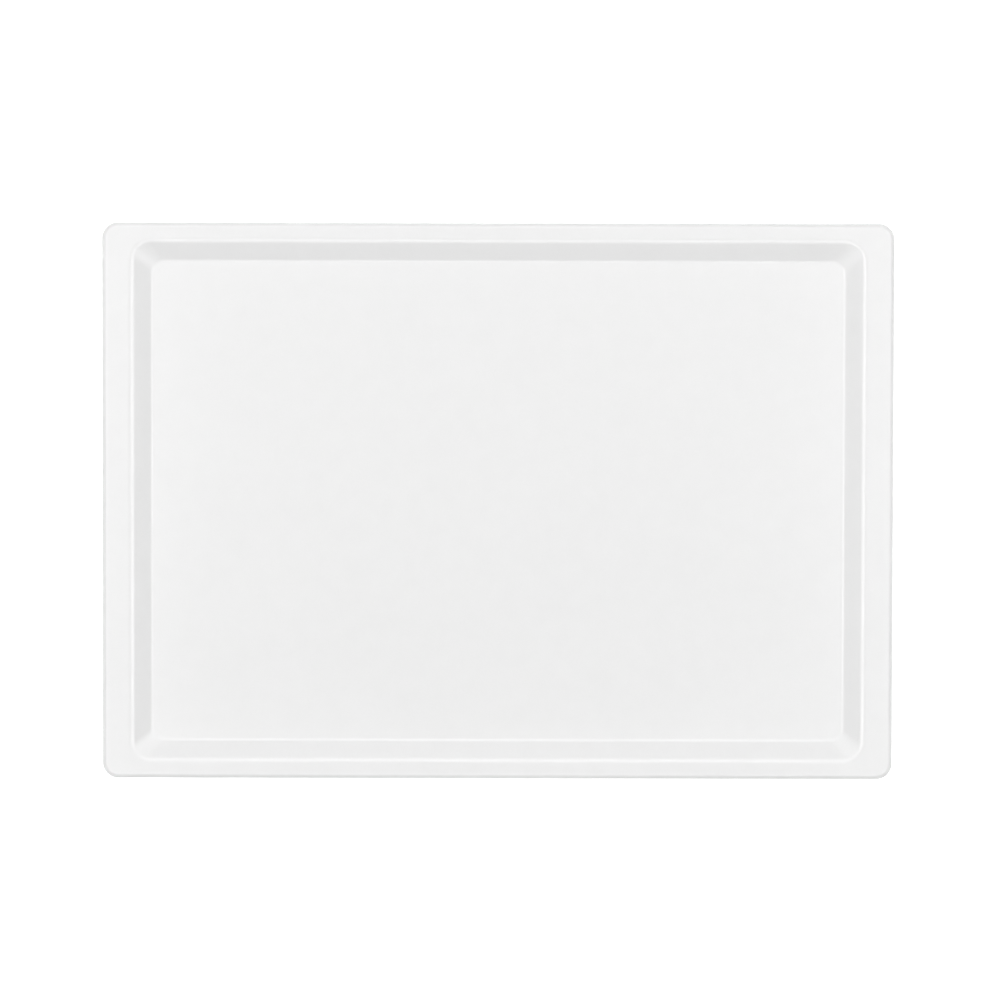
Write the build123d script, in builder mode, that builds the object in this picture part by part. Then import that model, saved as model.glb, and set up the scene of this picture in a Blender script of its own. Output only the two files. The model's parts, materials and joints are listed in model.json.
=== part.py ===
"""A one-piece moulded cutting board with a raised rim round a shallow sunken well.

Units are millimetres and +Z is up. The origin is the middle of the flat underside, X runs
along the length of the board and Y across its width.
"""

from build123d import *
import math
import os

# ---------------------------------------------------------------------------------------
# Driving dimensions
# ---------------------------------------------------------------------------------------

# The whole board
board_length = 500.0
board_width = 351.5
board_thickness = 20.0
outline_corner_radius = 10.0
top_edge_radius = 3.0
base_edge_radius = 2.0

# The rim, from the side of the board to the edge of the well's mouth
end_rim_width = 18.8
side_rim_width = 11.6

# The well and its sloped wall
well_depth = 6.0
wall_run = 12.5
mouth_corner_radius = 11.0
floor_corner_radius = 8.0

# Where the rim rolls over into the wall, and where the wall runs out into the floor
lip_radius = 11.0
foot_radius = 6.5

# ---------------------------------------------------------------------------------------
# Sizes that follow
# ---------------------------------------------------------------------------------------

mouth_length = board_length - 2 * end_rim_width
mouth_width = board_width - 2 * side_rim_width
floor_length = mouth_length - 2 * wall_run
floor_width = mouth_width - 2 * wall_run
floor_height = board_thickness - well_depth
wall_slope = math.degrees(math.atan2(well_depth, wall_run))

# ---------------------------------------------------------------------------------------
# Board: a slab with the well sunk into its top
# ---------------------------------------------------------------------------------------

with BuildPart() as board:
    with BuildSketch(Plane.XY):
        RectangleRounded(board_length, board_width, outline_corner_radius)
    extrude(amount=board_thickness)
    fillet(board.edges().group_by(Axis.Z)[-1], radius=top_edge_radius)
    fillet(board.edges().group_by(Axis.Z)[0], radius=base_edge_radius)

    # The well narrows from its mouth to its floor, so all four sides of it slope. Its
    # corners are rounder at the mouth than at the floor, which makes them a little less
    # steep than the straight walls.
    with BuildSketch(Plane.XY.offset(floor_height)):
        RectangleRounded(floor_length, floor_width, floor_corner_radius)
    with BuildSketch(Plane.XY.offset(board_thickness)):
        RectangleRounded(mouth_length, mouth_width, mouth_corner_radius)
    loft(mode=Mode.SUBTRACT)

    rim = board.faces().sort_by(Axis.Z)[-1]
    fillet(rim.inner_wires()[0].edges(), radius=lip_radius)
    well_floor = board.faces().filter_by(Plane.XY).sort_by(Axis.Z)[-2]
    fillet(well_floor.edges(), radius=foot_radius)

board.part.label = "board"

os.makedirs("parts", exist_ok=True)
export_step(board.part, "parts/board.step")

print(f"well floor {floor_length:.1f} x {floor_width:.1f} mm, wall slope {wall_slope:.1f} degrees")
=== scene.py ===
"""The looks of a one-piece cutting board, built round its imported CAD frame. Metres, +Z up."""

import json
import math

import bmesh
import bpy
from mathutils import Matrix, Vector


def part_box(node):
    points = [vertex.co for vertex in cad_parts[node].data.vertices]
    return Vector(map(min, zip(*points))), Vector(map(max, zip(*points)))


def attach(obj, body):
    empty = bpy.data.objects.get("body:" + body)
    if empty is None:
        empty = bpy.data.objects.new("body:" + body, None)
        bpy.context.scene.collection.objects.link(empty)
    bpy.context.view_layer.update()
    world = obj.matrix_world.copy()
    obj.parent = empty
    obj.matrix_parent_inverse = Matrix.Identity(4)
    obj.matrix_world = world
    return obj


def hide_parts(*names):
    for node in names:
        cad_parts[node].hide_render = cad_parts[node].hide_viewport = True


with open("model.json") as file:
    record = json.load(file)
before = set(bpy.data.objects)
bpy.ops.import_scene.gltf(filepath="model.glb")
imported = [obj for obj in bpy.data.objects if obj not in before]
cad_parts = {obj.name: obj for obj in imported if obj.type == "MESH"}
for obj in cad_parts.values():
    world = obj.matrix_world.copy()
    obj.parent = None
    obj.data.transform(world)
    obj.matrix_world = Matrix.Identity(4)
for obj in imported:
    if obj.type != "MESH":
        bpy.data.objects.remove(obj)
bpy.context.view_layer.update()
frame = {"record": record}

# ---------------------------------------------------------------------------------------
# Sizes
# ---------------------------------------------------------------------------------------

# From the frame
board_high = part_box("board")[1]
half_length = board_high.x
half_width = board_high.y
rim_height = board_high.z
mounts = {mount["name"]: mount for mount in frame["record"]["mounts"]}
floor_height = mounts["well_floor"]["pos_m"][2]

# As in the CAD model
outline_corner_radius = 0.010
top_edge_radius = 0.003
base_edge_radius = 0.002
end_rim_width = 0.0188
side_rim_width = 0.0116
wall_run = 0.0125
mouth_corner_radius = 0.011
floor_corner_radius = 0.008
lip_radius = 0.011
foot_radius = 0.0065

well_depth = rim_height - floor_height
mouth_centre = Vector((half_length - end_rim_width, half_width - side_rim_width))
mouth_centre -= Vector((mouth_corner_radius, mouth_corner_radius))
corner_shift = wall_run - mouth_corner_radius + floor_corner_radius
radius_change = mouth_corner_radius - floor_corner_radius

# The plastic's pattern: how far across each kind of blob is, and how deep its relief
grain_size = 0.0011
grain_depth = 0.000008
peel_size = 0.007
peel_depth = 0.00002
mottle_size = 0.012
patch_size = 0.040

# Studio
ceiling_height = 3.0

# How finely the mesh follows the shape
corner_steps = 24
length_steps = 56
width_steps = 36
lip_steps = 12
foot_steps = 8
edge_steps = 10
wall_steps = 5
rim_steps = 4
side_steps = 4


# ---------------------------------------------------------------------------------------
# The board's surface, as rings of points round it, each with its normals
# ---------------------------------------------------------------------------------------
# A ring is worked out over one quarter turn, for the corner where x and y are positive, and
# mirrored to the other three. Each point is (x, y, z, normal x, normal y, normal z).

def turn(step):
    """The outward direction, and the direction along the ring, at a step round a corner."""
    angle = math.pi / 2 * step / corner_steps
    out = Vector((math.cos(angle), math.sin(angle)))
    return out, Vector((-out.y, out.x))


def point(place, height, out, tilt):
    """A point whose normal leans outwards from straight up by this tilt."""
    return (place.x, place.y, height,
            out.x * math.sin(tilt), out.y * math.sin(tilt), math.cos(tilt))


def outline_ring(inset, height, tilt):
    """A ring set in from the board's outline."""
    centre = Vector((half_length - outline_corner_radius, half_width - outline_corner_radius))
    corner = []
    for step in range(corner_steps + 1):
        out = turn(step)[0]
        place = centre + (outline_corner_radius - inset) * out
        corner.append(point(place, height, out, tilt))
    return corner


def wall_at(step):
    """At a step round the well's corner: how far the mouth lies out, how fast that changes
    round the corner, the wall's slope, and how fast the slope changes."""
    out, along = turn(step)
    shift = Vector((corner_shift, corner_shift))
    run = shift.dot(out) + radius_change
    slope = math.atan2(well_depth, run)
    slope_change = -well_depth * shift.dot(along) / (run * run + well_depth * well_depth)
    reach = mouth_centre.dot(out) + mouth_corner_radius
    return reach, mouth_centre.dot(along), run, shift.dot(along), slope, slope_change


def rolled_ring(radius, at_lip, share):
    """A ring on the rounding at the lip or at the foot of the wall, where share goes from 0
    at the level side to 1 at the wall. Each rounding is the track of a rolling ball."""
    corner = []
    for step in range(corner_steps + 1):
        out, along = turn(step)
        reach, reach_change, run, run_change, slope, slope_change = wall_at(step)
        tangent = radius * math.tan(slope / 2)
        tangent_change = radius * slope_change / 2 / math.cos(slope / 2) ** 2
        if at_lip:
            side = -1
            ball = reach + tangent
            ball_change = reach_change + tangent_change
        else:
            side = 1
            ball = reach - run - tangent
            ball_change = reach_change - run_change - tangent_change
        lean = slope * share
        place = ball * out + ball_change * along + side * radius * math.sin(lean) * out
        drop = radius * (1 - math.cos(lean))
        height = rim_height - drop if at_lip else floor_height + drop
        corner.append(point(place, height, out, -lean))
    return corner


def between(first, last, share):
    """A ring part of the way from one ring to another, keeping the first ring's normals."""
    return [tuple(a + (b - a) * share for a, b in zip(p[:3], q[:3])) + p[3:]
            for p, q in zip(first, last)]


def shares(steps, start=0):
    """Even shares from 0 to 1, leaving out those before the starting step."""
    return [step / steps for step in range(start, steps + 1)]


def board_rings():
    """All rings, from the edge of the underside, over the side, rim and wall, to the floor."""
    rings = []
    quarter = math.pi / 2
    for share in shares(edge_steps):
        lean = quarter * share
        rings.append(outline_ring(base_edge_radius * (1 - math.sin(lean)),
                                  base_edge_radius * (1 - math.cos(lean)), math.pi - lean))
    low, high = base_edge_radius, rim_height - top_edge_radius
    for share in shares(side_steps, 1)[:-1]:
        rings.append(outline_ring(0, low + (high - low) * share, quarter))
    for share in shares(edge_steps):
        lean = quarter * (1 - share)
        rings.append(outline_ring(top_edge_radius * (1 - math.sin(lean)),
                                  rim_height - top_edge_radius * (1 - math.cos(lean)), lean))
    lip = [rolled_ring(lip_radius, True, share) for share in shares(lip_steps)]
    foot = [rolled_ring(foot_radius, False, 1 - share) for share in shares(foot_steps)]
    rings += [between(rings[-1], lip[0], share) for share in shares(rim_steps, 1)[:-1]]
    rings += lip
    rings += [between(lip[-1], foot[0], share) for share in shares(wall_steps, 1)[:-1]]
    rings += foot
    return rings


def whole_ring(corner):
    """The ring all the way round, from where the long side at negative y meets the corner at
    positive x, with the straight sides divided evenly."""
    signs = [(1, -1), (1, 1), (-1, 1), (-1, -1)]
    spans = [width_steps, length_steps, width_steps, length_steps]
    points = []
    for index, (sx, sy) in enumerate(signs):
        arc = [(sx * x, sy * y, z, sx * nx, sy * ny, nz) for x, y, z, nx, ny, nz in corner]
        points += arc if sx * sy > 0 else arc[::-1]
        nx_sign, ny_sign = signs[(index + 1) % 4]
        nearest = corner[0] if index % 2 == 0 else corner[-1]
        end = (nx_sign * nearest[0], ny_sign * nearest[1], nearest[2])
        start = points[-1]
        for span in range(1, spans[index]):
            share = span / spans[index]
            place = tuple(a + (b - a) * share for a, b in zip(start[:3], end))
            points.append(place + start[3:])
    return points


def board_mesh():
    """One closed mesh of four-sided faces, and the normal of each of its vertices."""
    mesh = bmesh.new()
    normals = []

    def new_vertex(values):
        normals.append(Vector(values[3:]).normalized())
        return mesh.verts.new(values[:3])

    rings = [[new_vertex(values) for values in whole_ring(corner)] for corner in board_rings()]
    count = len(rings[0])
    for lower, upper in zip(rings, rings[1:]):
        for i in range(count):
            j = (i + 1) % count
            mesh.faces.new((lower[i], lower[j], upper[j], upper[i]))
    fill_level(mesh, rings[0], new_vertex, -1)
    fill_level(mesh, rings[-1], new_vertex, 1)
    return mesh, normals


def fill_level(mesh, ring, new_vertex, facing):
    """Fills a level ring with a grid whose four corners are the middles of the ring's arcs."""
    half = corner_steps // 2
    across = width_steps + corner_steps
    along = length_steps + corner_steps
    count = len(ring)

    def on_ring(index):
        return ring[(half + index) % count]

    right = [on_ring(i) for i in range(across + 1)]
    top = [on_ring(across + i) for i in range(along + 1)][::-1]
    left = [on_ring(across + along + i) for i in range(across + 1)][::-1]
    bottom = [on_ring(2 * across + along + i) for i in range(along + 1)]
    grid = [[None] * (across + 1) for _ in range(along + 1)]
    for i in range(along + 1):
        for j in range(across + 1):
            u, v = i / along, j / across
            if j == 0:
                grid[i][j] = bottom[i]
            elif j == across:
                grid[i][j] = top[i]
            elif i == 0:
                grid[i][j] = left[j]
            elif i == along:
                grid[i][j] = right[j]
            else:
                place = (bottom[i].co * (1 - v) + top[i].co * v
                         + left[j].co * (1 - u) + right[j].co * u
                         - bottom[0].co * (1 - u) * (1 - v) - bottom[-1].co * u * (1 - v)
                         - top[0].co * (1 - u) * v - top[-1].co * u * v)
                grid[i][j] = new_vertex((place.x, place.y, place.z, 0, 0, facing))
    for i in range(along):
        for j in range(across):
            corners = (grid[i][j], grid[i + 1][j], grid[i + 1][j + 1], grid[i][j + 1])
            mesh.faces.new(corners if facing > 0 else corners[::-1])


def build_board():
    """The board as an object, with the exact normals of its surface."""
    mesh, normals = board_mesh()
    data = bpy.data.meshes.new("board_moulding")
    mesh.to_mesh(data)
    mesh.free()
    data.polygons.foreach_set("use_smooth", [True] * len(data.polygons))
    data.normals_split_custom_set_from_vertices(normals)
    piece = bpy.data.objects.new("board_moulding", data)
    bpy.context.scene.collection.objects.link(piece)
    return piece


# ---------------------------------------------------------------------------------------
# Materials
# ---------------------------------------------------------------------------------------

def noise(tree, place, size, detail, seed):
    """A noise pattern whose blobs are about this many metres across."""
    pattern = tree.nodes.new("ShaderNodeTexNoise")
    pattern.noise_dimensions = "4D"
    pattern.inputs["Scale"].default_value = 1 / size
    pattern.inputs["Detail"].default_value = detail
    pattern.inputs["W"].default_value = seed
    tree.links.new(place.outputs["Object"], pattern.inputs["Vector"])
    return pattern.outputs["Fac"]


def spread(tree, value, low, high):
    """Maps a noise value, most of which lies between 0.3 and 0.7, to a range."""
    mapped = tree.nodes.new("ShaderNodeMapRange")
    mapped.clamp = False
    mapped.inputs["From Min"].default_value = 0.3
    mapped.inputs["From Max"].default_value = 0.7
    mapped.inputs["To Min"].default_value = low
    mapped.inputs["To Max"].default_value = high
    tree.links.new(value, mapped.inputs["Value"])
    return mapped.outputs["Result"]


def sum_of(tree, first, second):
    """Adds two values."""
    total = tree.nodes.new("ShaderNodeMath")
    total.operation = "ADD"
    tree.links.new(first, total.inputs[0])
    tree.links.new(second, total.inputs[1])
    return total.outputs["Value"]


def bump(tree, height, depth, below=None):
    """Relief from a height pattern, this many metres deep, over any relief below it."""
    relief = tree.nodes.new("ShaderNodeBump")
    relief.inputs["Strength"].default_value = 1.0
    relief.inputs["Distance"].default_value = depth
    tree.links.new(height, relief.inputs["Height"])
    if below:
        tree.links.new(below, relief.inputs["Normal"])
    return relief.outputs["Normal"]


def board_plastic():
    """White polyethylene: a fine moulded grain over a faint orange peel, a cloudy mottle in
    the white, and a sheen that is a little uneven."""
    material = bpy.data.materials.new("white_polyethylene")
    material.use_nodes = True
    tree = material.node_tree
    shader = tree.nodes["Principled BSDF"]
    place = tree.nodes.new("ShaderNodeTexCoord")

    grain = noise(tree, place, grain_size, 2.0, 1.0)
    peel = noise(tree, place, peel_size, 1.0, 2.0)
    mottle = noise(tree, place, mottle_size, 2.0, 3.0)
    patches = noise(tree, place, patch_size, 3.0, 4.0)

    white = sum_of(tree, spread(tree, mottle, 0.795, 0.805), spread(tree, grain, -0.004, 0.004))
    tree.links.new(white, shader.inputs["Base Color"])
    sheen = sum_of(tree, spread(tree, patches, 0.185, 0.215), spread(tree, grain, 0.015, -0.015))
    tree.links.new(sheen, shader.inputs["Roughness"])
    relief = bump(tree, grain, grain_depth, bump(tree, peel, peel_depth))
    tree.links.new(relief, shader.inputs["Normal"])
    shader.inputs["IOR"].default_value = 1.52
    return material


def floor_white():
    """Bright white studio paper."""
    material = bpy.data.materials.new("studio_floor")
    material.use_nodes = True
    shader = material.node_tree.nodes["Principled BSDF"]
    shader.inputs["Base Color"].default_value = (0.85, 0.85, 0.85, 1)
    shader.inputs["Roughness"].default_value = 0.9
    shader.inputs["Emission Color"].default_value = (1, 1, 1, 1)
    shader.inputs["Emission Strength"].default_value = 0.5
    return material


# ---------------------------------------------------------------------------------------
# Studio
# ---------------------------------------------------------------------------------------

def build_floor():
    """A level square of studio floor under the board."""
    half_size = 15.0
    segments = 8
    mesh = bmesh.new()
    bmesh.ops.create_grid(mesh, x_segments=segments, y_segments=segments, size=half_size)
    data = bpy.data.meshes.new("studio_floor")
    mesh.to_mesh(data)
    mesh.free()
    floor = bpy.data.objects.new("studio_floor", data)
    floor.data.materials.append(floor_white())
    bpy.context.scene.collection.objects.link(floor)


def softbox(name, x_range, y_range, radiance):
    """A level softbox under the studio ceiling, covering these ranges of x and y."""
    light = bpy.data.lights.new(name, "AREA")
    light.shape = "RECTANGLE"
    light.size = x_range[1] - x_range[0]
    light.size_y = y_range[1] - y_range[0]
    light.energy = radiance * math.pi * light.size * light.size_y
    lamp = bpy.data.objects.new(name, light)
    lamp.location = (sum(x_range) / 2, sum(y_range) / 2, ceiling_height)
    lamp.visible_camera = False
    bpy.context.scene.collection.objects.link(lamp)


def build_lights():
    """Softboxes hung level round the camera, which looks down past a dimmer panel. East is
    positive x and north positive y. Four small ones on the diagonals light the corners of
    the wall, and the room beyond the board's near side, south, is left almost dark."""
    softbox("overhead", (-0.6, 0.6), (-0.2, 0.6), 0.8)
    softbox("overhead_middle", (-0.6, 0.6), (-0.2, 0.2), 1.5)
    softbox("overhead_east", (0.2, 0.6), (-0.2, 0.6), 0.8)
    softbox("east_inner", (0.6, 1.3), (-0.8, 0.8), 4.5)
    softbox("east_outer", (1.3, 2.1), (-1.3, 1.3), 2.6)
    softbox("east_far", (5.0, 9.0), (-5.0, 5.0), 0.6)
    softbox("west_inner", (-1.3, -0.6), (-0.8, 0.8), 5.1)
    softbox("west_outer", (-2.1, -1.3), (-1.3, 1.3), 1.7)
    softbox("west_far", (-9.0, -5.0), (-5.0, 5.0), 1.3)
    softbox("north_inner", (-0.8, 0.8), (0.6, 1.3), 4.5)
    softbox("north_outer", (-1.3, 1.3), (1.3, 2.1), 1.7)
    softbox("north_far", (-2.1, 2.1), (2.1, 3.2), 1.4)
    softbox("north_east", (1.4, 2.0), (1.4, 2.0), 7.0)
    softbox("north_west", (-2.0, -1.4), (1.4, 2.0), 7.0)
    softbox("south_inner", (-0.8, 0.8), (-1.4, -0.7), 4.3)
    softbox("south_outer", (-1.3, 1.3), (-3.2, -1.4), 0.3)
    softbox("south_east", (1.4, 2.0), (-2.0, -1.4), 4.5)
    softbox("south_west", (-2.0, -1.4), (-2.0, -1.4), 4.5)


def build_world():
    """A dark room, seen by the camera as a white backdrop that sheds no light."""
    world = bpy.data.worlds.new("studio_world")
    world.use_nodes = True
    tree = world.node_tree
    background = tree.nodes["Background"]
    background.inputs["Color"].default_value = (1, 1, 1, 1)
    light_path = tree.nodes.new("ShaderNodeLightPath")
    tree.links.new(light_path.outputs["Is Camera Ray"], background.inputs["Strength"])
    bpy.context.scene.world = world


def build_camera():
    """A long lens almost straight above, leaning a little to the far side of the board."""
    distance = 3.0
    lean = math.radians(2.5)
    roll = 0.0022
    frame_width = 0.6325
    data = bpy.data.cameras.new("camera")
    data.sensor_width = 36.0
    data.lens = data.sensor_width * distance / frame_width
    data.clip_start = 0.05
    data.clip_end = 100.0
    camera = bpy.data.objects.new("camera", data)
    target = Vector((0.0011, 0.0009, rim_height - top_edge_radius))
    camera.location = target + distance * Vector((0, math.sin(lean), math.cos(lean)))
    camera.rotation_euler = (-lean, 0, roll)
    bpy.context.scene.collection.objects.link(camera)
    bpy.context.scene.camera = camera


# ---------------------------------------------------------------------------------------
# Putting it together
# ---------------------------------------------------------------------------------------

board = build_board()
board.data.materials.append(board_plastic())
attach(board, "root")
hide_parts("board")

build_floor()
build_lights()
build_world()
build_camera()
bpy.context.scene.view_settings.view_transform = "Standard"
